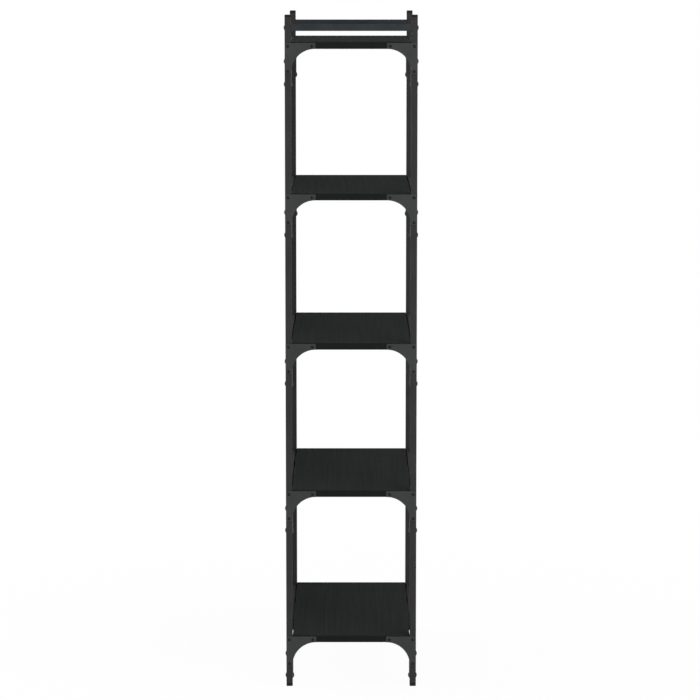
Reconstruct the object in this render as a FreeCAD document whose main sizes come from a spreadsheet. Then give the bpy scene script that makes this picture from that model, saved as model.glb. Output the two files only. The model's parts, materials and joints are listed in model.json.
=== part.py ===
import FreeCAD, Part
import math
import os
import re

import Sketcher

# An open bookcase: five boards in a frame of bolted steel tube, with curved corner plates on both ends.
# Lengths are in millimetres. The origin is on the floor in the middle of the case, +Z is up,
# +X is to the right and the long front faces -Y.

SHELF_COUNT = 5
TIER_COUNT = SHELF_COUNT - 1

# The sizes that can be set by themselves
SIZES = {
    # Case, over the outer faces of the posts, and the step from one board to the next
    "case_width": 600,
    "case_depth": 312,
    "shelf_pitch": 355.3,
    # Square tube of the posts and top rails, and the narrower tube of the long rails
    "tube_side": 15,
    "rail_width": 10,
    "tube_wall": 1.2,
    "tube_corner": 1.5,
    "tube_end_round": 0.4,
    # Boards, with the gap to the posts at front and back and the rounding of their edges
    "board_thickness": 16,
    "board_gap": 0.5,
    "board_edge": 1,
    # Long rails, set down from the board's top, and the plates welded into the rail ends
    "rail_drop": 2,
    "end_plate": 4,
    # Top rails, set up from the top board, and the post that stands above them
    "rail_clearance": 25.8,
    "post_rise": 17,
    # Angle tabs on the long rails, two to a rail, that carry the board
    "tab_thickness": 1.5,
    "tab_width": 30,
    "tab_reach": 20,
    "tab_rise": 9,
    "tab_spacing": 300,
    # Corner plates: arm and leg with a quarter arch between them
    "gusset_reach": 72,
    "gusset_drop": 2,
    "gusset_tip": 1,
    "gusset_tail": 2,
    "gusset_thickness": 1.5,
    "arm_hole_inset": 8,
    "leg_hole_inset": 5.5,
    # Post joints, below the corner plates, and the straps and spigots that bridge them
    "joint_margin": 6,
    "upper_bolt_rise": 35.3,
    "lower_bolt_fall": 18.3,
    "splice_margin": 6.5,
    "strap_thickness": 1.4,
    "strap_width": 13,
    "strap_corner": 3,
    "spigot_gap": 0.2,
    # Dome bolts and the sleeve nuts that they screw into
    "dome_width": 12.6,
    "dome_height": 2.5,
    "bolt_diameter": 6,
    "bolt_end_gap": 1,
    "sleeve_wall": 1,
    "sleeve_length": 10,
    "sleeve_floor": 1.4,
    "rail_bolt_grip": 8,
    # Corner bolts and screws, with button heads
    "corner_bolt_diameter": 5,
    "corner_bolt_grip": 8,
    "screw_diameter": 4,
    "screw_length": 12,
    "screw_point": 3,
    "button_width": 8,
    "button_height": 1.8,
    # Hexagon sockets in the dome and button heads
    "dome_socket_width": 4,
    "dome_socket_depth": 1.8,
    "button_socket_width": 2.5,
    "button_socket_depth": 1.1,
    # Gaps round a bolt in a drilled hole, round a thread, and past the point of a screw
    "hole_gap": 0.25,
    "thread_gap": 0.1,
    "pilot_gap": 0.5,
    # Caps and glides, whose plugs sit in the tube ends, and the bare tube above the glide's plug
    "cap_height": 6,
    "glide_height": 8,
    "end_round": 1.5,
    "plug_length": 10,
    "plug_gap": 0.15,
    "foot_clearance": 1.7,
}

# What follows from those sizes
FORMULAS = {
    "bore_side": "tube_side - 2 * tube_wall",
    "post_x": "(case_width - tube_side) / 2",
    "post_y": "(case_depth - tube_side) / 2",
    "inner_y": "case_depth / 2 - tube_side",
    "long_rail_length": "case_width - 2 * tube_side",
    "top_rail_length": "case_depth - 2 * tube_side",
    "rail_centre_drop": "rail_drop + tube_side / 2",
    "board_depth": "case_depth - 2 * (tube_side + board_gap)",
    "tab_hole_y": "rail_width / 2 + tab_thickness + tab_reach / 2",
    "tab_seat": "board_thickness - rail_centre_drop",
    "gusset_arm": "board_thickness - gusset_drop",
    "gusset_radius": "gusset_reach - tube_side - gusset_tip",
    "gusset_leg": "gusset_arm + gusset_radius + gusset_tail",
    "gusset_hole_drop": "rail_centre_drop - gusset_drop",
    "arm_screw_y": "case_depth / 2 - gusset_reach + arm_hole_inset",
    "leg_screw_drop": "gusset_drop + gusset_leg - leg_hole_inset",
    "joint_drop": "gusset_drop + gusset_leg + joint_margin",
    "splice_rise": "upper_bolt_rise + splice_margin",
    "splice_fall": "lower_bolt_fall + splice_margin",
    "leg_screw_rise": "joint_drop - leg_screw_drop",
    "corner_bolt_rise": "joint_drop - rail_centre_drop",
    "top_bolt_rise": "joint_drop + rail_clearance + tube_side / 2",
    "foot_length": "plug_length + foot_clearance + splice_fall",
    "top_length": "joint_drop + rail_clearance + tube_side + post_rise",
    "first_board": "glide_height + foot_length + joint_drop",
    "sleeve_diameter": "bolt_diameter + 2 * (thread_gap + sleeve_wall)",
    "sleeve_hole": "sleeve_diameter / 2 + hole_gap",
    "bolt_hole": "bolt_diameter / 2 + hole_gap",
    "bolt_thread": "bolt_diameter / 2 + thread_gap",
    "bolt_length": "tube_side + strap_thickness - sleeve_floor - bolt_end_gap",
    "rail_bolt_length": "tube_side + rail_bolt_grip",
    "corner_bolt_length": "gusset_thickness + tube_side + corner_bolt_grip",
    "corner_bolt_hole": "corner_bolt_diameter / 2 + hole_gap",
    "corner_bolt_thread": "corner_bolt_diameter / 2 + thread_gap",
    "screw_hole": "screw_diameter / 2 + hole_gap",
    "screw_pilot": "screw_diameter / 2 + thread_gap",
    "plug_side": "bore_side - 2 * plug_gap",
    "spigot_side": "bore_side - 2 * spigot_gap",
}

CORNERS = (("front_left", -1, -1), ("front_right", 1, -1), ("back_left", -1, 1), ("back_right", 1, 1))
ENDS = (("left", -1), ("right", 1))
FACES = (("front", -1), ("back", 1))

UP = FreeCAD.Vector(0, 0, 1)
BACKWARDS = FreeCAD.Vector(0, 1, 0)

doc = FreeCAD.newDocument("bookcase")
sheet = doc.addObject("Spreadsheet::Sheet", "Sizes")
for row, (word, number) in enumerate(SIZES.items(), start=1):
    sheet.set(f"A{row}", word)
    sheet.set(f"B{row}", str(number))
    sheet.setAlias(f"B{row}", word)
doc.recompute()


def spell(formula):
    """Write a formula out in the sheet's own cells."""
    def trace(match):
        word = match.group()
        if word in FORMULAS:
            return f"({spell(FORMULAS[word])})"
        return f"Sizes.{word}"
    return re.sub(r"[a-z_]+", trace, formula)


def bind(thing, path, formula):
    """Tie one property of a thing to a formula."""
    thing.setExpression(path, spell(formula))


def new_body(name):
    """Start a body for one kind of piece."""
    return doc.addObject("PartDesign::Body", name)


def sketch_on(body, name, role, lift="0"):
    """Start a sketch on one of the body's own planes, lifted off it along the plane's normal."""
    plane = next(feature for feature in body.Origin.OriginFeatures if feature.Role == role)
    sketch = body.newObject("Sketcher::SketchObject", f"{body.Name}_{name}")
    sketch.AttachmentSupport = [(plane, "")]
    sketch.MapMode = "FlatFace"
    bind(sketch, "AttachmentOffset.Base.z", lift)
    return sketch


def fix_point(sketch, shape, end, x, y):
    """Hold a point of a sketch at a place given by two formulas, measured from the origin."""
    for kind, formula in (("DistanceX", x), ("DistanceY", y)):
        number = sketch.addConstraint(Sketcher.Constraint(kind, -1, 1, shape, end, 1.0))
        bind(sketch, f"Constraints[{number}]", formula)


def draw_line(sketch, turn):
    """Add a loose line, which its constraints then put in place."""
    start = FreeCAD.Vector(math.cos(turn), math.sin(turn), 0)
    return sketch.addGeometry(Part.LineSegment(start, start * 2))


def draw_outline(sketch, points):
    """Draw a closed outline with straight sides through points given as pairs of formulas."""
    count = len(points)
    sides = [draw_line(sketch, number) for number in range(count)]
    for number, (x, y) in enumerate(points):
        before = sides[number - 1]
        sketch.addConstraint(Sketcher.Constraint("Coincident", before, 2, sides[number], 1))
        fix_point(sketch, sides[number], 1, x, y)


def draw_rectangle(sketch, width, height):
    """Draw a rectangle centred on the origin."""
    right = f"({width}) / 2"
    top = f"({height}) / 2"
    draw_outline(sketch, ((f"-{right}", f"-{top}"), (right, f"-{top}"), (right, top), (f"-{right}", top)))


def draw_circle(sketch, x, y, radius):
    """Draw a circle about a point given by two formulas."""
    shape = sketch.addGeometry(Part.Circle(FreeCAD.Vector(), UP, 1.0))
    fix_point(sketch, shape, 3, x, y)
    number = sketch.addConstraint(Sketcher.Constraint("Radius", shape, 1.0))
    bind(sketch, f"Constraints[{number}]", radius)


def pad(body, sketch, length, side="One side", reverse=False):
    """Raise a sketch into a solid."""
    feature = body.newObject("PartDesign::Pad", f"{sketch.Name}_pad")
    feature.Profile = sketch
    feature.SideType = side
    feature.Reversed = reverse
    bind(feature, "Length", length)
    return feature


def pocket(body, sketch, depth=None, side="One side", reverse=False):
    """Cut a sketch out of the body, to a depth or, with none, right through both ways."""
    feature = body.newObject("PartDesign::Pocket", f"{sketch.Name}_pocket")
    feature.Profile = sketch
    feature.Reversed = reverse
    if depth is None:
        feature.SideType = "Symmetric"
        feature.Type = "ThroughAll"
    else:
        feature.SideType = side
        bind(feature, "Length", depth)
    return feature


def drill(body, name, role, centres, radius, depth=None, lift="0", reverse=False):
    """Drill round holes of one size square to a plane."""
    sketch = sketch_on(body, name, role, lift)
    for x, y in centres:
        draw_circle(sketch, x, y, radius)
    return pocket(body, sketch, depth, reverse=reverse)


def round_edges(body, feature, radius, wanted):
    """Round those edges of a feature for which wanted says yes."""
    doc.recompute()
    edges = feature.Shape.Edges
    names = [f"Edge{number}" for number, edge in enumerate(edges, start=1) if wanted(edge)]
    fillet = body.newObject("PartDesign::Fillet", f"{feature.Name}_round")
    fillet.Base = (feature, names)
    bind(fillet, "Radius", radius)
    return fillet


def runs_along(axis):
    """Make a test for edges that run along an axis, given as X, Y or Z."""
    def test(edge):
        box = edge.BoundBox
        spans = {"X": box.XLength, "Y": box.YLength, "Z": box.ZLength}
        return spans.pop(axis) > max(spans.values())
    return test


def make_bar(body, role, axis, width, length, side):
    """Raise a solid bar with rounded corners along the normal of a plane."""
    sketch = sketch_on(body, "section", role)
    draw_rectangle(sketch, width, "tube_side")
    bar = pad(body, sketch, length, side)
    along = runs_along(axis)
    rounded = round_edges(body, bar, "tube_corner", along)
    round_edges(body, rounded, "tube_end_round", lambda edge: not along(edge))


def make_post(name, length, sleeve_rises, bolt_rises, corner_rises, screw_rises):
    """A post section for the left end, standing on its lower end.

    The four lists give the heights of its holes: front to back for sleeve nuts, front to back for
    rail bolts, left to right for corner bolts, and in the left face alone for the corner plate's screw.
    """
    body = new_body(name)
    make_bar(body, "XY_Plane", "Z", "tube_side", length, "One side")
    bore = sketch_on(body, "bore", "XY_Plane")
    draw_rectangle(bore, "bore_side", "bore_side")
    pocket(body, bore)
    holes = (
        ("sleeve_holes", "XZ_Plane", sleeve_rises, "sleeve_hole"),
        ("bolt_holes", "XZ_Plane", bolt_rises, "bolt_hole"),
        ("corner_holes", "YZ_Plane", corner_rises, "corner_bolt_hole"),
    )
    for hole_name, role, rises, radius in holes:
        if rises:
            drill(body, hole_name, role, [("0", rise) for rise in rises], radius)
    if screw_rises:
        centres = [("0", rise) for rise in screw_rises]
        left_face = "-tube_side / 2"
        drill(body, "screw_holes", "YZ_Plane", centres, "screw_hole", "2 * tube_wall", left_face, True)
    return body


def make_rail(name, role, axis, width, length, thread):
    """A rail centred on the origin, closed at both ends by welded plates with a threaded hole."""
    body = new_body(name)
    make_bar(body, role, axis, width, length, "Symmetric")
    bore = sketch_on(body, "bore", role)
    draw_rectangle(bore, f"{width} - 2 * tube_wall", "bore_side")
    pocket(body, bore, f"{length} - 2 * end_plate", "Symmetric")
    drill(body, "threads", role, [("0", "0")], thread)
    return body


def add_tabs(rail):
    """Weld two folded angle tabs to the inner face of a front rail, and drill their feet."""
    face = "rail_width / 2"
    inside = f"{face} + tab_thickness"
    toe = f"{inside} + tab_reach"
    seat = "-(tab_seat)"
    under = f"{seat} - tab_thickness"
    top = f"{seat} + tab_rise"
    for end_name, end in ENDS:
        sketch = sketch_on(rail, f"{end_name}_tab", "YZ_Plane", f"{end} * tab_spacing / 2")
        corners = ((face, under), (toe, under), (toe, seat), (inside, seat), (inside, top), (face, top))
        draw_outline(sketch, corners)
        pad(rail, sketch, "tab_width", "Symmetric")
    centres = [(f"{end} * tab_spacing / 2", "tab_hole_y") for _, end in ENDS]
    drill(rail, "tab_holes", "XY_Plane", centres, "screw_hole")


def make_board():
    """A board whose top face is at height zero, with pilot holes for its screws.

    The corner plates' screws enter its two ends, and the tabs' screws its underside.
    """
    body = new_body("board")
    sketch = sketch_on(body, "outline", "XY_Plane")
    draw_rectangle(sketch, "case_width", "board_depth")
    slab = pad(body, sketch, "board_thickness", reverse=True)
    round_edges(body, slab, "board_edge", lambda edge: True)
    end_centres = [(f"{face} * arm_screw_y", "-rail_centre_drop") for _, face in FACES]
    end_depth = "screw_length - gusset_thickness + pilot_gap"
    for end_name, end in ENDS:
        lift = f"{end} * case_width / 2"
        drill(body, f"{end_name}_pilots", "YZ_Plane", end_centres, "screw_pilot", end_depth, lift, end < 0)
    under_centres = [
        (f"{end} * tab_spacing / 2", f"{face} * (post_y - tab_hole_y)") for _, end, face in CORNERS
    ]
    under_depth = "screw_length - tab_thickness + pilot_gap"
    underside = "-board_thickness"
    drill(body, "under_pilots", "XY_Plane", under_centres, "screw_pilot", under_depth, underside, True)
    return body


def make_gusset():
    """A corner plate for the front corner of the left end, with its outer top corner at the origin.

    Its back is at X zero. The arm runs along +Y under the board's top edge, the leg runs down the post,
    and a quarter arch joins them.
    """
    body = new_body("gusset")
    sketch = sketch_on(body, "outline", "YZ_Plane")
    arm = "-(gusset_arm)"
    leg = "-(gusset_leg)"
    corners = (
        ("0", "0"),
        ("gusset_reach", "0"),
        ("gusset_reach", arm),
        ("tube_side", arm),
        ("tube_side", leg),
        ("0", leg),
    )
    draw_outline(sketch, corners)
    plate = pad(body, sketch, "gusset_thickness", reverse=True)
    inner = FreeCAD.Vector(0, SIZES["tube_side"], SIZES["gusset_drop"] - SIZES["board_thickness"])

    def is_inner_corner(edge):
        middle = edge.CenterOfMass
        middle.x = 0
        return middle.distanceToPoint(inner) < SIZES["gusset_tip"] / 2
    round_edges(body, plate, "gusset_radius", is_inner_corner)
    drill(body, "corner_hole", "YZ_Plane", [("tube_side / 2", "-gusset_hole_drop")], "corner_bolt_hole")
    screw_centres = (
        ("gusset_reach - arm_hole_inset", "-gusset_hole_drop"),
        ("tube_side / 2", "leg_hole_inset - gusset_leg"),
    )
    drill(body, "screw_holes", "YZ_Plane", screw_centres, "screw_hole")
    return body


# The two holes across a post joint, above and below it
SPLICE_HOLES = (("0", "upper_bolt_rise"), ("0", "-lower_bolt_fall"))


def make_strap():
    """A strap that bridges a front post's joint, with its back at Y zero and the joint at height zero."""
    body = new_body("strap")
    sketch = sketch_on(body, "outline", "XZ_Plane")
    edge = "strap_width / 2"
    corners = (
        (f"-{edge}", "-splice_fall"),
        (edge, "-splice_fall"),
        (edge, "splice_rise"),
        (f"-{edge}", "splice_rise"),
    )
    draw_outline(sketch, corners)
    plate = pad(body, sketch, "strap_thickness", reverse=True)
    round_edges(body, plate, "strap_corner", runs_along("Y"))
    drill(body, "holes", "XZ_Plane", SPLICE_HOLES, "sleeve_hole")
    return body


def make_spigot():
    """A block that keeps two post sections in line from inside, with the joint at height zero."""
    body = new_body("spigot")
    sketch = sketch_on(body, "section", "XY_Plane", "-splice_fall")
    draw_rectangle(sketch, "spigot_side", "spigot_side")
    pad(body, sketch, "splice_fall + splice_rise")
    drill(body, "sleeve_holes", "XZ_Plane", SPLICE_HOLES, "sleeve_hole")
    drill(body, "screw_hole", "YZ_Plane", [("0", "leg_screw_rise")], "screw_pilot")
    return body


def make_pin(name, head, shank_width, length, point=None):
    """A turned pin along +X with a domed head at X below zero, blunt or with a point of a given length.

    The head is a slice of a ball: head names the sizes of its width and height.
    """
    body = new_body(name)
    sketch = sketch_on(body, "profile", "XY_Plane")
    width, height = (f"{head}_width", f"{head}_height")
    shank = f"({shank_width}) / 2"
    shoulder = length if point is None else f"{length} - {point}"
    points = [("0", f"{width} / 2"), ("0", shank), (shoulder, shank), (length, "0"), (f"-{height}", "0")]
    sides = [draw_line(sketch, number) for number in range(len(points) - 1)]
    for number, side in enumerate(sides):
        fix_point(sketch, side, 1, *points[number])
        if number:
            sketch.addConstraint(Sketcher.Constraint("Coincident", sides[number - 1], 2, side, 1))
    fix_point(sketch, sides[-1], 2, *points[-1])
    doc.recompute()
    rim = SIZES[width] / 2
    rise = SIZES[height]
    ball = (rim ** 2 + rise ** 2) / (2 * rise)
    circle = Part.Circle(FreeCAD.Vector(ball - rise, 0, 0), UP, ball)
    dome = sketch.addGeometry(Part.ArcOfCircle(circle, math.atan2(rim, rise - ball), math.pi))
    sketch.addConstraint(Sketcher.Constraint("Coincident", dome, 1, sides[0], 1))
    sketch.addConstraint(Sketcher.Constraint("Coincident", dome, 2, sides[-1], 2))
    sketch.addConstraint(Sketcher.Constraint("PointOnObject", dome, 3, -1))
    turned = body.newObject("PartDesign::Revolution", f"{name}_turned")
    turned.Profile = sketch
    turned.ReferenceAxis = (sketch, ["H_Axis"])
    turned.Angle = 360
    return body


def cut_socket(pin, head):
    """Sink a hexagon socket into the head of a pin."""
    sketch = sketch_on(pin, "socket", "YZ_Plane", f"-{head}_height")
    flat = f"{head}_socket_width / 2"
    point = f"{head}_socket_width / 3 ^ 0.5"
    half = f"{point} / 2"
    corners = (
        (flat, half),
        ("0", point),
        (f"-{flat}", half),
        (f"-{flat}", f"-{half}"),
        ("0", f"-{point}"),
        (flat, f"-{half}"),
    )
    draw_outline(sketch, corners)
    pocket(pin, sketch, f"{head}_socket_depth", reverse=True)


def make_sleeve_nut():
    """A domed nut with a sleeve along +X, bored from its far end to take a dome bolt."""
    body = make_pin("sleeve_nut_piece", "dome", "sleeve_diameter", "sleeve_length")
    depth = "sleeve_length - sleeve_floor"
    drill(body, "bore", "YZ_Plane", [("0", "0")], "bolt_thread", depth, "sleeve_length")
    cut_socket(body, "dome")
    return body


def make_plugged_end(name, height, upwards):
    """A square cap or glide on a tube end at height zero, with a plug that sits in the tube."""
    body = new_body(name)
    sketch = sketch_on(body, "outline", "XY_Plane")
    draw_rectangle(sketch, "tube_side", "tube_side")
    block = pad(body, sketch, height, reverse=not upwards)

    def is_outer_edge(edge):
        return abs(edge.CenterOfMass.z) > SIZES["end_round"] / 2
    round_edges(body, block, "end_round", is_outer_edge)
    plug = sketch_on(body, "plug", "XY_Plane")
    draw_rectangle(plug, "plug_side", "plug_side")
    pad(body, plug, "plug_length", reverse=upwards)
    return body


def place(name, piece, x, y, z, turn=0, axis=UP):
    """Put one piece in its place: turned about an axis, then moved by three formulas."""
    copy = doc.addObject("App::Link", name)
    copy.Label = name
    copy.LinkedObject = piece
    copy.Placement = FreeCAD.Placement(FreeCAD.Vector(), FreeCAD.Rotation(axis, turn))
    for letter, formula in zip("xyz", (x, y, z)):
        bind(copy, f"Placement.Base.{letter}", formula)
    return copy


def place_group(name, piece, places):
    """Put several like pieces in their places, as one named group of separate solids."""
    copies = [place(f"{name}_copy_{number}", piece, *spot) for number, spot in enumerate(places, start=1)]
    group = doc.addObject("Part::Compound", name)
    group.Label = name
    group.Links = copies
    return group


def turn_of(side):
    """The turn about Z that carries a piece made for the left or front to the other side."""
    return 0 if side < 0 else 180


BOARD_TOPS = [f"first_board + {level} * shelf_pitch" for level in range(SHELF_COUNT)]
JOINTS = [f"{top} - joint_drop" for top in BOARD_TOPS]
TOP_BOARD = BOARD_TOPS[-1]
nodes = []

# Boards
board = make_board()
for level, top in enumerate(BOARD_TOPS, start=1):
    nodes.append(place(f"shelf_{level}", board, "0", "0", top))

# Post sections: a foot, one tier from joint to joint, and the top with the end of the post
foot_post = make_post("foot_post", "foot_length", ["foot_length - lower_bolt_fall"], [], [], [])
tier_post = make_post(
    "tier_post",
    "shelf_pitch",
    ["upper_bolt_rise", "shelf_pitch - lower_bolt_fall"],
    [],
    ["corner_bolt_rise"],
    ["leg_screw_rise"],
)
top_post = make_post(
    "top_post",
    "top_length",
    ["upper_bolt_rise"],
    ["top_bolt_rise"],
    ["corner_bolt_rise"],
    ["leg_screw_rise"],
)
for corner, end, face in CORNERS:
    spot = (f"{end} * post_x", f"{face} * post_y")
    turn = turn_of(end)
    nodes.append(place(f"foot_post_{corner}", foot_post, *spot, "glide_height", turn))
    for tier in range(TIER_COUNT):
        nodes.append(place(f"tier_post_{tier + 1}_{corner}", tier_post, *spot, JOINTS[tier], turn))
    nodes.append(place(f"top_post_{corner}", top_post, *spot, JOINTS[-1], turn))

# Long rails at front and back, with the tabs that carry the boards, and a top rail across each end
long_rail = make_rail("long_rail", "YZ_Plane", "X", "rail_width", "long_rail_length", "corner_bolt_thread")
add_tabs(long_rail)
for level, top in enumerate(BOARD_TOPS, start=1):
    for face_name, face in FACES:
        spot = ("0", f"{face} * post_y", f"{top} - rail_centre_drop")
        nodes.append(place(f"long_rail_{level}_{face_name}", long_rail, *spot, turn_of(face)))
top_rail = make_rail("top_rail", "XZ_Plane", "Y", "tube_side", "top_rail_length", "bolt_thread")
top_rail_height = f"{TOP_BOARD} + rail_clearance + tube_side / 2"
for end_name, end in ENDS:
    nodes.append(place(f"top_rail_{end_name}", top_rail, f"{end} * post_x", "0", top_rail_height))

# Corner plates, a front and a back one to each node; the back one is the same plate turned over
gusset = make_gusset()
for level, top in enumerate(BOARD_TOPS, start=1):
    for end_name, end in ENDS:
        pair = []
        for _, face in FACES:
            seat = f"{end} * case_width / 2"
            shift = "" if face == end else f" + {end} * gusset_thickness"
            pair.append((seat + shift, f"{face} * case_depth / 2", f"{top} - gusset_drop", turn_of(face)))
        nodes.append(place_group(f"{end_name}_gussets_{level}", gusset, pair))

# Post joints: straps on the inner faces, spigots inside, dome bolts from outside, sleeve nuts from inside
straps = []
spigots = []
dome_bolts = []
sleeve_nuts = []
for joint in JOINTS:
    for _, end, face in CORNERS:
        across = f"{end} * post_x"
        straps.append((across, f"{face} * inner_y", joint, turn_of(face)))
        spigots.append((across, f"{face} * post_y", joint, turn_of(end)))
        for height in (f"{joint} + upper_bolt_rise", f"{joint} - lower_bolt_fall"):
            dome_bolts.append((across, f"{face} * case_depth / 2", height, -90 * face))
            sleeve_nuts.append((across, f"{face} * (inner_y - strap_thickness)", height, 90 * face))
nodes.append(place_group("splice_straps", make_strap(), straps))
nodes.append(place_group("splice_spigots", make_spigot(), spigots))
dome_bolt = make_pin("dome_bolt", "dome", "bolt_diameter", "bolt_length")
cut_socket(dome_bolt, "dome")
nodes.append(place_group("dome_bolts", dome_bolt, dome_bolts))
nodes.append(place_group("sleeve_nuts", make_sleeve_nut(), sleeve_nuts))

# Longer dome bolts that hold the top rails
rail_bolt = make_pin("rail_bolt", "dome", "bolt_diameter", "rail_bolt_length")
cut_socket(rail_bolt, "dome")
rail_bolts = []
for _, end, face in CORNERS:
    rail_bolts.append((f"{end} * post_x", f"{face} * case_depth / 2", top_rail_height, -90 * face))
nodes.append(place_group("top_rail_bolts", rail_bolt, rail_bolts))

# Corner bolts, through the corner plate and the post into the end of the long rail
corner_bolt = make_pin("corner_bolt", "button", "corner_bolt_diameter", "corner_bolt_length")
cut_socket(corner_bolt, "button")
corner_bolts = []
for top in BOARD_TOPS:
    for _, end, face in CORNERS:
        plate_face = f"{end} * (case_width / 2 + gusset_thickness)"
        corner_bolts.append((plate_face, f"{face} * post_y", f"{top} - rail_centre_drop", turn_of(end)))
nodes.append(place_group("corner_bolts", corner_bolt, corner_bolts))

# Screws: at each arm end into the board's end, at each leg end into the spigot, and up through each tab
screw = make_pin("screw", "button", "screw_diameter", "screw_length", "screw_point")
cut_socket(screw, "button")
screws = []
for top in BOARD_TOPS:
    for _, end, face in CORNERS:
        plate_face = f"{end} * (case_width / 2 + gusset_thickness)"
        screws.append((plate_face, f"{face} * arm_screw_y", f"{top} - rail_centre_drop", turn_of(end)))
        screws.append((plate_face, f"{face} * post_y", f"{top} - leg_screw_drop", turn_of(end)))
        tab_spot = (f"{end} * tab_spacing / 2", f"{face} * (post_y - tab_hole_y)")
        screws.append((*tab_spot, f"{top} - board_thickness - tab_thickness", -90, BACKWARDS))
nodes.append(place_group("screws", screw, screws))

# Caps on the post tops and glides under the feet
post_top = f"{JOINTS[-1]} + top_length"
ends = (
    ("top_caps", make_plugged_end("cap", "cap_height", True), post_top),
    ("foot_glides", make_plugged_end("glide", "glide_height", False), "glide_height"),
)
for group_name, piece, height in ends:
    spots = [(f"{end} * post_x", f"{face} * post_y", height) for _, end, face in CORNERS]
    nodes.append(place_group(group_name, piece, spots))

doc.recompute()

# Nothing is written unless every step worked, every cut removed material and every node is sound
for thing in doc.Objects:
    if "Invalid" in thing.State or "Error" in thing.State:
        raise RuntimeError(f"{thing.Label} failed: {thing.State}")
    if thing.TypeId == "PartDesign::Pocket" and thing.Shape.Volume >= thing.BaseFeature.Shape.Volume:
        raise RuntimeError(f"{thing.Label} cuts nothing")
for node in nodes:
    if node.Shape.isNull() or not node.Shape.isValid():
        raise RuntimeError(f"{node.Label} is not a sound shape")

os.makedirs("parts", exist_ok=True)
for node in nodes:
    node.Shape.exportStep(f"parts/{node.Label}.step")
print(len(nodes), "nodes,", sum(len(node.Shape.Solids) for node in nodes), "solids")
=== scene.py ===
import json
import math

import bpy
import numpy as np
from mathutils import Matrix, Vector


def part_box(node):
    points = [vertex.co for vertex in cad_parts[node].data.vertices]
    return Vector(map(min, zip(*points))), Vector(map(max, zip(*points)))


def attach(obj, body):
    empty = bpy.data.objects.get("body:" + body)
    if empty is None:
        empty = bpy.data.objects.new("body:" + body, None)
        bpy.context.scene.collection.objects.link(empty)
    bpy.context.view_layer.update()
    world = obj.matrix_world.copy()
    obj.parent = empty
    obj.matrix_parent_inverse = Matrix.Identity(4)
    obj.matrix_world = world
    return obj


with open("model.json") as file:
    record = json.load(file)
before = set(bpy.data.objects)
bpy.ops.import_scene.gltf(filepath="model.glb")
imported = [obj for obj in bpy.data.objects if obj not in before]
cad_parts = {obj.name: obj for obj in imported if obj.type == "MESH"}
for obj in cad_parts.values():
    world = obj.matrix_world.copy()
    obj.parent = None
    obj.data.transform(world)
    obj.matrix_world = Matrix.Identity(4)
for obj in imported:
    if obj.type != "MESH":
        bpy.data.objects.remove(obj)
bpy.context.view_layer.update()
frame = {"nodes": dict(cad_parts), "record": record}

# Boards
# Five shelves of 16 mm particle board, faced on both sides with a dark, matt foil printed with ash grain.
# The grain runs the long way. Each board lies on four tabs of its long rails and is screwed from below.

SHELVES = sorted(name for name in frame["nodes"] if name.startswith("shelf_"))
FOIL_DARK = (41, 43, 42)
FOIL_LIGHT = (49, 51, 50)
FOIL_DUST = (78, 79, 78)
FOIL_DUSTINESS = 0.03
FOIL_ROUGHNESS = (0.88, 1.0)
FOIL_GLOSS = 0.002
FIBRE_STRETCH = (2.6, 170.0, 170.0)
FIBRE_SPAN = (0.3, 0.7)
PORE_STRETCH = (28.0, 820.0, 820.0)
PORE_SPAN = (0.58, 0.68)
PORE_SHARE = 0.45
PORE_DEPTH = 0.00006
DUST_SLOPE = (0.8, 1.0)
DUST_PATCH_SCALE = 9.0
DUST_SPAN = (0.35, 0.75)


def screen_colour(levels):
    """Linear colour of a screen colour given in levels from 0 to 255, by the screen's own curve."""
    share = np.asarray(levels, float) / 255
    linear = np.where(share <= 0.04045, share / 12.92, ((share + 0.055) / 1.055) ** 2.4)
    return (*linear.tolist(), 1.0)


def add_node(tree, kind, values=None, **settings):
    """Add a node to a tree. Settings are its properties and values its inputs, and a socket is linked."""
    made = tree.nodes.new(kind)
    for name, setting in settings.items():
        setattr(made, name, setting)
    for name, value in (values or {}).items():
        if isinstance(value, bpy.types.NodeSocket):
            tree.links.new(value, made.inputs[name])
        else:
            made.inputs[name].default_value = value
    return made


def own_place(tree):
    """Place of a point of the surface in metres, in the frame that the piece and the case share."""
    return add_node(tree, "ShaderNodeTexCoord").outputs["Object"]


def stretched(tree, scales):
    """Place of a point times a number for each axis, so that a pattern on it is drawn out along one."""
    values = {"Vector": own_place(tree), "Scale": scales}
    return add_node(tree, "ShaderNodeMapping", values).outputs["Vector"]


def noise(tree, where, scale=1.0, detail=2.0, rough=0.5):
    """Cloudy noise between 0 and 1 with a number of clouds to the metre."""
    values = {"Vector": where, "Scale": scale, "Detail": detail, "Roughness": rough}
    return add_node(tree, "ShaderNodeTexNoise", values).outputs["Fac"]


def remap(tree, value, low, high, to_low=0.0, to_high=1.0):
    """Carry the span from low to high over to another span, in a straight line and held at its ends."""
    values = {"Value": value, "From Min": low, "From Max": high, "To Min": to_low, "To Max": to_high}
    return add_node(tree, "ShaderNodeMapRange", values).outputs["Result"]


def sum_of(tree, operation, first, second):
    """One sum on two values."""
    return add_node(tree, "ShaderNodeMath", {0: first, 1: second}, operation=operation).outputs["Value"]


def blend_colours(tree, share, first, second):
    """Colour between two others, by a share that changes over the surface."""
    made = add_node(tree, "ShaderNodeMix", {"Factor": share}, data_type="RGBA")
    for socket, colour in (("A_Color", first), ("B_Color", second)):
        target = next(entry for entry in made.inputs if entry.identifier == socket)
        if isinstance(colour, bpy.types.NodeSocket):
            tree.links.new(colour, target)
        else:
            target.default_value = screen_colour(colour)
    return next(entry for entry in made.outputs if entry.identifier == "Result_Color")


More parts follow.
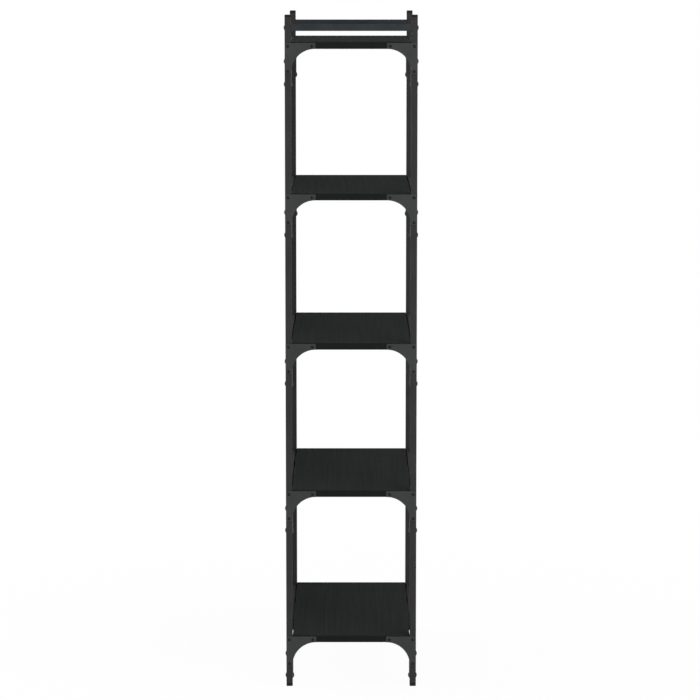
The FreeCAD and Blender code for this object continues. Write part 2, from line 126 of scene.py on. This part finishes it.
def new_effect(name, inputs, outputs):
    """Start a shader group with named value inputs, given with their defaults, and named value outputs."""
    group = bpy.data.node_groups.new(name, "ShaderNodeTree")
    for word, default in inputs.items():
        socket = group.interface.new_socket(word, in_out="INPUT", socket_type="NodeSocketFloat")
        socket.default_value = default
    for word in outputs:
        group.interface.new_socket(word, in_out="OUTPUT", socket_type="NodeSocketFloat")
    return group, group.nodes.new("NodeGroupInput").outputs, group.nodes.new("NodeGroupOutput").inputs


def use_effect(tree, group, **values):
    """Place a shader group in a material with its own values, and give its outputs."""
    made = add_node(tree, "ShaderNodeGroup", node_tree=group)
    for word, value in values.items():
        made.inputs[word.replace("_", " ")].default_value = value
    return made.outputs


def new_finish(name, **constants):
    """Start a material and set the constants of its shader; an underscore in a word stands for a space."""
    finish = bpy.data.materials.new(name)
    finish.use_nodes = True
    shader = finish.node_tree.nodes["Principled BSDF"]
    for word, value in constants.items():
        shader.inputs[word.replace("_", " ")].default_value = value
    return finish, finish.node_tree, shader.inputs


def raise_surface(tree, height, depth, strength=1.0):
    """Normal of a surface raised by a height from 0 to 1 times a depth in metres."""
    values = {"Height": height, "Distance": depth, "Strength": strength}
    return add_node(tree, "ShaderNodeBump", values).outputs["Normal"]


def dress(names, finish):
    """Give CAD nodes a finish."""
    for name in names:
        for slot in frame["nodes"][name].material_slots:
            slot.material = finish


dust_inputs = {"Amount": 0.2, "Patch Scale": DUST_PATCH_SCALE}
settled_dust, taken, given = new_effect("settled_dust", dust_inputs, ["Mask"])
facing = add_node(settled_dust, "ShaderNodeNewGeometry").outputs["True Normal"]
upward = add_node(settled_dust, "ShaderNodeSeparateXYZ", {"Vector": facing}).outputs["Z"]
level = remap(settled_dust, upward, *DUST_SLOPE)
patches = noise(settled_dust, own_place(settled_dust), taken["Patch Scale"], detail=5.0, rough=0.65)
lying = sum_of(settled_dust, "MULTIPLY", level, remap(settled_dust, patches, *DUST_SPAN))
settled_dust.links.new(sum_of(settled_dust, "MULTIPLY", lying, taken["Amount"]), given["Mask"])

board_foil, tree, foil = new_finish("board_foil", Specular_IOR_Level=FOIL_GLOSS)
fibres = noise(tree, stretched(tree, FIBRE_STRETCH), detail=6.0, rough=0.62)
pores = remap(tree, noise(tree, stretched(tree, PORE_STRETCH)), *PORE_SPAN)
pits = sum_of(tree, "MULTIPLY", pores, PORE_SHARE)
grain = sum_of(tree, "SUBTRACT", remap(tree, fibres, *FIBRE_SPAN), pits)
printed = blend_colours(tree, grain, FOIL_DARK, FOIL_LIGHT)
dust = use_effect(tree, settled_dust, Amount=FOIL_DUSTINESS)["Mask"]
tree.links.new(blend_colours(tree, dust, printed, FOIL_DUST), foil["Base Color"])
tree.links.new(remap(tree, fibres, *FIBRE_SPAN, *FOIL_ROUGHNESS), foil["Roughness"])
tree.links.new(raise_surface(tree, sum_of(tree, "SUBTRACT", 1.0, pores), PORE_DEPTH), foil["Normal"])
dress(SHELVES, board_foil)

# Board edging
# A 1 mm strip of plain black plastic glued round the edge of each board, trimmed flush and rounded off.
# It laps the foil by its own thickness and goes on under the corner plates at the ends.

EDGING_THICKNESS = 0.0010
EDGING_PROUD = 0.00025
EDGING_LIFT = 0.00004
EDGING_ROUND = 0.0007
EDGING_ROUND_STEPS = 5
EDGING_CORNER = 0.0016
EDGING_CORNER_STEPS = 7
EDGING_DARK = (29, 30, 30)
EDGING_LIGHT = (36, 37, 37)
EDGING_ROUGHNESS = (0.66, 0.82)
EDGING_GLOSS = 0.015
EDGING_CLOUD_SCALE = 38.0
EDGING_CLOUD_SPAN = (0.3, 0.7)
EDGING_GRAIN_SCALE = 620.0
EDGING_GRAIN_DEPTH = 0.00002


def rounded_rectangle(half_x, half_y, radius, steps):
    """Points and outward normals round a rectangle whose corners are quarter circles of a number of points.
    A point is its corner's centre plus the radius times its normal, and straight sides join the corners."""
    turn = np.linspace(0, np.pi / 2, steps)
    angles = (turn[None, :] + np.arange(4)[:, None] * np.pi / 2).ravel()
    normals = np.stack([np.cos(angles), np.sin(angles)], axis=1)
    signs = np.repeat([[1, 1], [-1, 1], [-1, -1], [1, -1]], steps, axis=0)
    centres = signs * [half_x - radius, half_y - radius]
    return centres + radius * normals, normals


def mesh_piece(name, points, faces, finish):
    """Make a piece from points and faces, shade it smooth, and let it ride on the case."""
    mesh = bpy.data.meshes.new(name)
    mesh.from_pydata(points.tolist(), [], faces)
    mesh.materials.append(finish)
    mesh.shade_smooth()
    piece = bpy.data.objects.new(name, mesh)
    bpy.context.scene.collection.objects.link(piece)
    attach(piece, "root")


def grid_faces(rows, columns, closed_rows):
    """Quads of a grid of points whose columns close on themselves, and its rows too where asked."""
    row = np.arange(rows if closed_rows else rows - 1)[:, None]
    column = np.arange(columns)[None, :]
    after_row = (row + 1) % rows
    after_column = (column + 1) % columns
    corners = [row * columns + column, after_row * columns + column]
    corners += [after_row * columns + after_column, row * columns + after_column]
    return np.stack(corners, axis=-1).reshape(-1, 4)


edging_plastic, tree, edging = new_finish("edging_plastic", Specular_IOR_Level=EDGING_GLOSS)
where = own_place(tree)
clouds = noise(tree, where, EDGING_CLOUD_SCALE, detail=4.0)
tree.links.new(blend_colours(tree, clouds, EDGING_DARK, EDGING_LIGHT), edging["Base Color"])
tree.links.new(remap(tree, clouds, *EDGING_CLOUD_SPAN, *EDGING_ROUGHNESS), edging["Roughness"])
grain = noise(tree, where, EDGING_GRAIN_SCALE)
tree.links.new(raise_surface(tree, grain, EDGING_GRAIN_DEPTH), edging["Normal"])

for shelf in SHELVES:
    low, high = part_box(shelf)
    outline, normals = rounded_rectangle(high.x, high.y, EDGING_CORNER, EDGING_CORNER_STEPS)
    half_height = (high.z - low.z) / 2 + EDGING_LIFT
    half_thickness = EDGING_THICKNESS / 2
    section, _ = rounded_rectangle(half_thickness, half_height, EDGING_ROUND / 2, EDGING_ROUND_STEPS)
    outward = section[None, :, 0] + EDGING_PROUD - half_thickness
    ring = np.empty((len(outline), len(section), 3))
    ring[:, :, :2] = outline[:, None, :] + normals[:, None, :] * outward[:, :, None]
    ring[:, :, 2] = section[None, :, 1] + (low.z + high.z) / 2
    faces = grid_faces(len(outline), len(section), True).tolist()
    mesh_piece(shelf.replace("shelf", "edging"), ring.reshape(-1, 3), faces, edging_plastic)

# Posts
# Four posts of 15 mm square steel tube, each in six lengths that meet on spigots below the boards.
# They have a satin charcoal powder coat, with the fine ripple and mottle that such a coat dries to.

COAT_DARK = (44, 44, 44)
COAT_LIGHT = (59, 59, 59)
COAT_WORN = (86, 86, 85)
COAT_DUST = (104, 103, 100)
COAT_DUSTINESS = 0.03
COAT_ROUGHNESS = (0.50, 0.64)
COAT_GLOSS = 0.12
COAT_WEAR = 0.18
RIPPLE_SCALE = 850.0
RIPPLE_DEPTH = 0.00010
RIPPLE_STRENGTH = 0.6
SPECK_SCALE = 2600.0
SPECK_SPAN = (0.62, 0.72)
SPECK_SHARE = 0.3
CLOUD_SCALE = 14.0
CLOUD_SHARE = 0.6
MOTTLE_SPAN = (0.55, 1.05)
ARRIS_WIDTH = 0.0012
ARRIS_SPAN = (0.99, 0.86)
RUB_SCALE = 55.0
RUB_SPAN = (0.38, 0.66)

skin_inputs = {"Ripple Scale": RIPPLE_SCALE, "Cloud Scale": CLOUD_SCALE}
coat_skin, taken, given = new_effect("coat_skin", skin_inputs, ["Height", "Mottle"])
where = own_place(coat_skin)
ripple = noise(coat_skin, where, taken["Ripple Scale"])
specks = remap(coat_skin, noise(coat_skin, where, SPECK_SCALE, detail=1.0), *SPECK_SPAN)
height = sum_of(coat_skin, "ADD", ripple, sum_of(coat_skin, "MULTIPLY", specks, SPECK_SHARE))
coat_skin.links.new(height, given["Height"])
clouds = sum_of(coat_skin, "MULTIPLY", noise(coat_skin, where, taken["Cloud Scale"]), CLOUD_SHARE)
mottle = sum_of(coat_skin, "ADD", clouds, ripple)
coat_skin.links.new(remap(coat_skin, mottle, *MOTTLE_SPAN), given["Mottle"])

arris_wear, taken, given = new_effect("arris_wear", {"Width": ARRIS_WIDTH, "Amount": 0.5}, ["Mask"])
softened = add_node(arris_wear, "ShaderNodeBevel", {"Radius": taken["Width"]}, samples=6).outputs["Normal"]
facing = add_node(arris_wear, "ShaderNodeNewGeometry").outputs["Normal"]
likeness = add_node(arris_wear, "ShaderNodeVectorMath", {0: softened, 1: facing}, operation="DOT_PRODUCT")
edges = remap(arris_wear, likeness.outputs["Value"], *ARRIS_SPAN)
patches = noise(arris_wear, own_place(arris_wear), RUB_SCALE, detail=5.0, rough=0.6)
rubbed = sum_of(arris_wear, "MULTIPLY", edges, remap(arris_wear, patches, *RUB_SPAN))
arris_wear.links.new(sum_of(arris_wear, "MULTIPLY", rubbed, taken["Amount"]), given["Mask"])


def coat_finish(name, dark, light, worn, roughness, wear, gloss):
    """A powder coat: mottled between two colours, worn at the arrises, dusty on top, with a rippled skin."""
    finish, tree, coat = new_finish(name, Specular_IOR_Level=gloss)
    skin = use_effect(tree, coat_skin)
    colour = blend_colours(tree, skin["Mottle"], dark, light)
    colour = blend_colours(tree, use_effect(tree, arris_wear, Amount=wear)["Mask"], colour, worn)
    dust = use_effect(tree, settled_dust, Amount=COAT_DUSTINESS)["Mask"]
    tree.links.new(blend_colours(tree, dust, colour, COAT_DUST), coat["Base Color"])
    tree.links.new(remap(tree, skin["Mottle"], 0.0, 1.0, *roughness), coat["Roughness"])
    tree.links.new(raise_surface(tree, skin["Height"], RIPPLE_DEPTH, RIPPLE_STRENGTH), coat["Normal"])
    return finish


def nodes_starting(*words):
    """Names of the CAD nodes that start with one of some words."""
    return [name for name in frame["nodes"] if name.startswith(words)]


frame_coat = coat_finish(
    "frame_coat", COAT_DARK, COAT_LIGHT, COAT_WORN, COAT_ROUGHNESS, wear=COAT_WEAR, gloss=COAT_GLOSS
)
dress(nodes_starting("foot_post", "tier_post", "top_post"), frame_coat)

# Long rails
# Tubes of 10 by 15 mm that run the long way beside the boards, front and back, bolted between the posts.
# Their coat is the posts' coat a shade darker, as painted shade for the light their tops miss, and matt.

LONG_RAIL_SHADED_DARK = (40, 40, 40)
LONG_RAIL_SHADED_LIGHT = (54, 54, 54)
RAIL_ROUGHNESS = (0.66, 0.82)
RAIL_GLOSS = 0.015

long_rail_shaded_coat = coat_finish(
    "long_rail_shaded_coat", LONG_RAIL_SHADED_DARK, LONG_RAIL_SHADED_LIGHT, COAT_WORN, RAIL_ROUGHNESS,
    wear=COAT_WEAR, gloss=RAIL_GLOSS
)
dress(nodes_starting("long_rail"), long_rail_shaded_coat)

# Top rails
# A tube across each end above the top board, bolted between the posts.
# It has a matt coat like the long rails', painted a little bluer and lighter than the posts as a painted
# reflection.

TOP_RAIL_REFLECTION_DARK = (50, 53, 56)
TOP_RAIL_REFLECTION_LIGHT = (66, 70, 73)

top_rail_reflection_coat = coat_finish(
    "top_rail_reflection_coat", TOP_RAIL_REFLECTION_DARK, TOP_RAIL_REFLECTION_LIGHT, COAT_WORN, RAIL_ROUGHNESS, wear=COAT_WEAR, gloss=RAIL_GLOSS
)
dress(["top_rail_left", "top_rail_right"], top_rail_reflection_coat)

# Tab welds
# Each board tab is a folded angle, welded to the inner face of its rail down both sides of its upright leg.
# The beads are laid by hand in short ripples and coated with the rail, in its coat with the painted shade.

BEAD_RADIUS = 0.0011
BEAD_RIPPLE = 0.00018
BEAD_RIPPLE_LENGTH = 0.0014
BEAD_LENGTH = 0.0075
BEAD_STEPS = 40
BEAD_SIDES = 10
TAB_SPACING = 0.300
TAB_WIDTH = 0.030
LONG_RAIL_WIDTH = 0.010


def bead(start, end):
    """A tube along a straight line. Its radius swells and narrows with a cosine along the line, and falls off
    to a pole at each end along a quarter circle. The rings come first and the two poles last."""
    share = np.linspace(0, 1, BEAD_STEPS)
    length = np.linalg.norm(end - start)
    swell = BEAD_RADIUS + BEAD_RIPPLE * np.cos(2 * np.pi * share * length / BEAD_RIPPLE_LENGTH)
    from_end = np.clip(np.minimum(share, 1 - share) * length / BEAD_RADIUS, 0, 1)
    radius = swell * np.sqrt(1 - (1 - from_end) ** 2)
    turn = np.linspace(0, -2 * np.pi, BEAD_SIDES, endpoint=False)
    around = np.stack([np.cos(turn), np.sin(turn), np.zeros(BEAD_SIDES)], axis=1)
    line = start + share[:, None] * (end - start)
    rings = line[1:-1, None, :] + radius[1:-1, None, None] * around[None, :, :]
    return np.concatenate([rings.reshape(-1, 3), line[[0, -1]]])


def bead_faces(first_point):
    """Quads between a bead's rings and a fan to the pole at each end, for points numbered from a first."""
    ring = np.arange(BEAD_SIDES)
    after = (ring + 1) % BEAD_SIDES
    last = (BEAD_STEPS - 3) * BEAD_SIDES
    pole = np.full(BEAD_SIDES, (BEAD_STEPS - 2) * BEAD_SIDES)
    start_fan = np.stack([pole, ring, after], axis=1)
    end_fan = np.stack([pole + 1, last + after, last + ring], axis=1)
    fans = np.concatenate([start_fan, end_fan])
    quads = grid_faces(BEAD_STEPS - 2, BEAD_SIDES, False)
    return (quads + first_point).tolist() + (fans + first_point).tolist()


tab_edges = [tab * TAB_SPACING / 2 + edge * TAB_WIDTH / 2 for tab in (-1, 1) for edge in (-1, 1)]
bead_points = []
for shelf in SHELVES:
    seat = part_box(shelf)[0].z
    for face in ("front", "back"):
        low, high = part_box(f"long_rail_{shelf[-1]}_{face}")
        inner_face = low.y + LONG_RAIL_WIDTH if face == "front" else high.y - LONG_RAIL_WIDTH
        for x in tab_edges:
            foot = np.array([x, inner_face, seat])
            bead_points.append(bead(foot, foot + [0, 0, BEAD_LENGTH]))
starts = np.arange(len(bead_points)) * len(bead_points[0])
all_faces = [face for first in starts for face in bead_faces(first)]
mesh_piece("tab_welds", np.concatenate(bead_points), all_faces, long_rail_shaded_coat)

# Corner plates
# Flat steel cut to an arch, at each corner of each board end, with a coat like the posts' in a lighter grey.
# A bolt holds it and the long rail to the post, and screws hold its arm to the board and its leg to the post.

PLATE_DARK = (55, 57, 56)
PLATE_LIGHT = (70, 72, 71)
PLATE_WORN = (99, 99, 98)
PLATE_WEAR = 0.22

plate_coat = coat_finish(
    "plate_coat", PLATE_DARK, PLATE_LIGHT, PLATE_WORN, COAT_ROUGHNESS, wear=PLATE_WEAR, gloss=COAT_GLOSS
)
dress(nodes_starting("left_gussets", "right_gussets"), plate_coat)

# Splice straps
# Flat steel strips across the post joints, held to the inner faces of the posts by the sleeve nuts.
# Their coat is painted the lightest on the frame, as a painted highlight for the bright line their edges
# catch.

STRAP_HIGHLIGHT_DARK = (81, 82, 81)
STRAP_HIGHLIGHT_LIGHT = (97, 98, 97)
STRAP_HIGHLIGHT_WORN = (122, 122, 121)

strap_highlight_coat = coat_finish(
    "strap_highlight_coat", STRAP_HIGHLIGHT_DARK, STRAP_HIGHLIGHT_LIGHT, STRAP_HIGHLIGHT_WORN, COAT_ROUGHNESS, wear=PLATE_WEAR, gloss=COAT_GLOSS
)
dress(["splice_straps"], strap_highlight_coat)

# Bolts, nuts and screws
# Black zinc-plated steel with hexagon sockets: dome bolts and sleeve nuts in the posts, and button-headed
# bolts and screws. The plating is thin, so metal shows a little where a key or a hand has rubbed it.

ZINC_DARK = (25, 25, 26)
ZINC_LIGHT = (38, 38, 39)
ZINC_RUBBED = (92, 91, 89)
ZINC_ROUGHNESS = (0.34, 0.52)
ZINC_METAL = 0.55
ZINC_GLOSS = 0.2
ZINC_GRAIN_SCALE = 1400.0
ZINC_GRAIN_DEPTH = 0.00002
ZINC_GRAIN_STRENGTH = 0.5
ZINC_CLOUD_SCALE = 160.0
ZINC_RUB_WIDTH = 0.0005
ZINC_RUB = 0.4


def nodes_in(slot_name):
    """Names of the CAD nodes that take their finish from a slot of the record."""
    return [part["node"] for part in frame["record"]["subparts"] if part["material_slot"] == slot_name]


black_zinc, tree, zinc = new_finish("black_zinc", Metallic=ZINC_METAL, Specular_IOR_Level=ZINC_GLOSS)
skin = use_effect(tree, coat_skin, Ripple_Scale=ZINC_GRAIN_SCALE, Cloud_Scale=ZINC_CLOUD_SCALE)
colour = blend_colours(tree, skin["Mottle"], ZINC_DARK, ZINC_LIGHT)
rubbed = use_effect(tree, arris_wear, Width=ZINC_RUB_WIDTH, Amount=ZINC_RUB)["Mask"]
tree.links.new(blend_colours(tree, rubbed, colour, ZINC_RUBBED), zinc["Base Color"])
tree.links.new(remap(tree, skin["Mottle"], 0.0, 1.0, *ZINC_ROUGHNESS), zinc["Roughness"])
tree.links.new(raise_surface(tree, skin["Height"], ZINC_GRAIN_DEPTH, ZINC_GRAIN_STRENGTH), zinc["Normal"])
dress(nodes_in("fastener"), black_zinc)

# Caps, glides and spigots
# Moulded black nylon with the fine spark grain of its mould: caps pressed into the post tops,
# glides under the feet, and the blocks inside the post joints.

NYLON_DARK = (24, 24, 24)
NYLON_LIGHT = (34, 34, 34)
NYLON_SCUFFED = (74, 73, 71)
NYLON_DUST = (96, 95, 92)
NYLON_DUSTINESS = 0.12
NYLON_ROUGHNESS = (0.55, 0.72)
NYLON_GLOSS = 0.14
NYLON_CLOUD_SCALE = 60.0
SPARK_SCALE = 1500.0
SPARK_SPAN = (0.3, 0.7)
SPARK_DEPTH = 0.00004
SPARK_STRENGTH = 0.7
SCUFF_WIDTH = 0.0015
SCUFF = 0.35

black_nylon, tree, nylon = new_finish("black_nylon", Specular_IOR_Level=NYLON_GLOSS)
where = own_place(tree)
spark = noise(tree, where, SPARK_SCALE, detail=3.0, rough=0.6)
clouds = noise(tree, where, NYLON_CLOUD_SCALE, detail=4.0)
colour = blend_colours(tree, clouds, NYLON_DARK, NYLON_LIGHT)
scuffed = use_effect(tree, arris_wear, Width=SCUFF_WIDTH, Amount=SCUFF)["Mask"]
colour = blend_colours(tree, scuffed, colour, NYLON_SCUFFED)
dust = use_effect(tree, settled_dust, Amount=NYLON_DUSTINESS)["Mask"]
tree.links.new(blend_colours(tree, dust, colour, NYLON_DUST), nylon["Base Color"])
tree.links.new(remap(tree, spark, *SPARK_SPAN, *NYLON_ROUGHNESS), nylon["Roughness"])
tree.links.new(raise_surface(tree, spark, SPARK_DEPTH, SPARK_STRENGTH), nylon["Normal"])
dress(nodes_in("plastic"), black_nylon)

# Studio
# A white floor that runs out to a white surround, and four soft lamps. To the camera and in reflections floor
# and surround are plain white, with a trace of the case's shadow, but their light on the case is softer and
# greyer. Two lamps stand off the right end and the back, one off the front and one beyond the left end.

WHITE = (1.0, 1.0, 1.0, 1.0)
FLOOR_REACH = 60.0
FLOOR_PAINT = (0.9, 0.9, 0.9, 1.0)
GLOW_NEAR = 0.965
GLOW_NEAR_REACH = 0.5
GLOW_FULL_REACH = 2.2
SURROUND_LIGHT = 0.40
LAMP_TARGET = (0.0, 0.0, 0.8)


def seen_ray(tree):
    """1 for a ray from the camera, a reflection or glass, and 0 for light that falls on a surface."""
    path = add_node(tree, "ShaderNodeLightPath").outputs
    either = sum_of(tree, "MAXIMUM", path["Is Camera Ray"], path["Is Glossy Ray"])
    return sum_of(tree, "MAXIMUM", either, path["Is Transmission Ray"])


floor_paint = bpy.data.materials.new("floor_paint")
floor_paint.use_nodes = True
tree = floor_paint.node_tree
tree.nodes.clear()
matt = add_node(tree, "ShaderNodeBsdfDiffuse", {"Color": FLOOR_PAINT})
glow = add_node(tree, "ShaderNodeEmission", {"Color": WHITE, "Strength": 1.0})
reach = add_node(tree, "ShaderNodeVectorMath", {0: own_place(tree)}, operation="LENGTH").outputs["Value"]
whiteness = remap(tree, reach, GLOW_NEAR_REACH, GLOW_FULL_REACH, GLOW_NEAR, 1.0)
share = sum_of(tree, "MULTIPLY", seen_ray(tree), whiteness)
shown = add_node(tree, "ShaderNodeMixShader", {0: share, 1: matt.outputs[0], 2: glow.outputs[0]})
add_node(tree, "ShaderNodeOutputMaterial", {"Surface": shown.outputs[0]})

corners = np.array([[-1, -1, 0], [1, -1, 0], [1, 1, 0], [-1, 1, 0]], float) * FLOOR_REACH
floor_mesh = bpy.data.meshes.new("floor")
floor_mesh.from_pydata(corners.tolist(), [], [[0, 1, 2, 3]])
floor_mesh.materials.append(floor_paint)
floor = bpy.data.objects.new("floor", floor_mesh)
bpy.context.scene.collection.objects.link(floor)

surround = bpy.data.worlds.new("surround")
surround.use_nodes = True
bpy.context.scene.world = surround
tree = surround.node_tree
tree.nodes.clear()
strength = remap(tree, seen_ray(tree), 0.0, 1.0, SURROUND_LIGHT, 1.0)
background = add_node(tree, "ShaderNodeBackground", {"Color": WHITE, "Strength": strength})
add_node(tree, "ShaderNodeOutputWorld", {"Surface": background.outputs[0]})


def softbox(name, place, width, height, power):
    """A flat lamp at a place, turned to face the middle of the case."""
    lamp = bpy.data.lights.new(name, "AREA")
    lamp.shape = "RECTANGLE"
    lamp.size = width
    lamp.size_y = height
    lamp.energy = power
    holder = bpy.data.objects.new(name, lamp)
    bpy.context.scene.collection.objects.link(holder)
    aim = Vector(LAMP_TARGET) - Vector(place)
    holder.location = place
    holder.rotation_mode = "QUATERNION"
    holder.rotation_quaternion = aim.to_track_quat("-Z", "Y")


softbox("key_lamp", place=(6.4, 3.6, 2.0), width=2.6, height=2.6, power=103.0)
softbox("high_lamp", place=(2.3, 2.6, 4.4), width=3.4, height=2.6, power=91.0)
softbox("front_lamp", place=(-0.8, -3.6, 2.7), width=2.0, height=2.0, power=65.0)
softbox("rear_lamp", place=(-5.6, -1.6, 2.0), width=2.6, height=2.6, power=35.0)

# Camera
# It looks at the right end of the case from a little above the top, tipped down so that the feet show.
# The place and lens come from fitting the measured edges of the posts and boards.

CAMERA_PLACE = (7.050, 0.0, 1.732)
CAMERA_TIP = math.radians(7.708)
CAMERA_LENS = 147.52
SENSOR_WIDTH = 36.0
FAR_LIMIT = 500.0
PICTURE_WIDTH = 700
CASE_MIDDLE = 351.155

lens = bpy.data.cameras.new("camera")
lens.sensor_width = SENSOR_WIDTH
lens.lens = CAMERA_LENS
lens.shift_x = (PICTURE_WIDTH / 2 - CASE_MIDDLE) / PICTURE_WIDTH
lens.clip_end = FAR_LIMIT
camera = bpy.data.objects.new("camera", lens)
bpy.context.scene.collection.objects.link(camera)
camera.location = CAMERA_PLACE
camera.rotation_euler = (math.pi / 2 - CAMERA_TIP, 0.0, math.pi / 2)
bpy.context.scene.camera = camera

bpy.context.scene.view_settings.view_transform = "Standard"
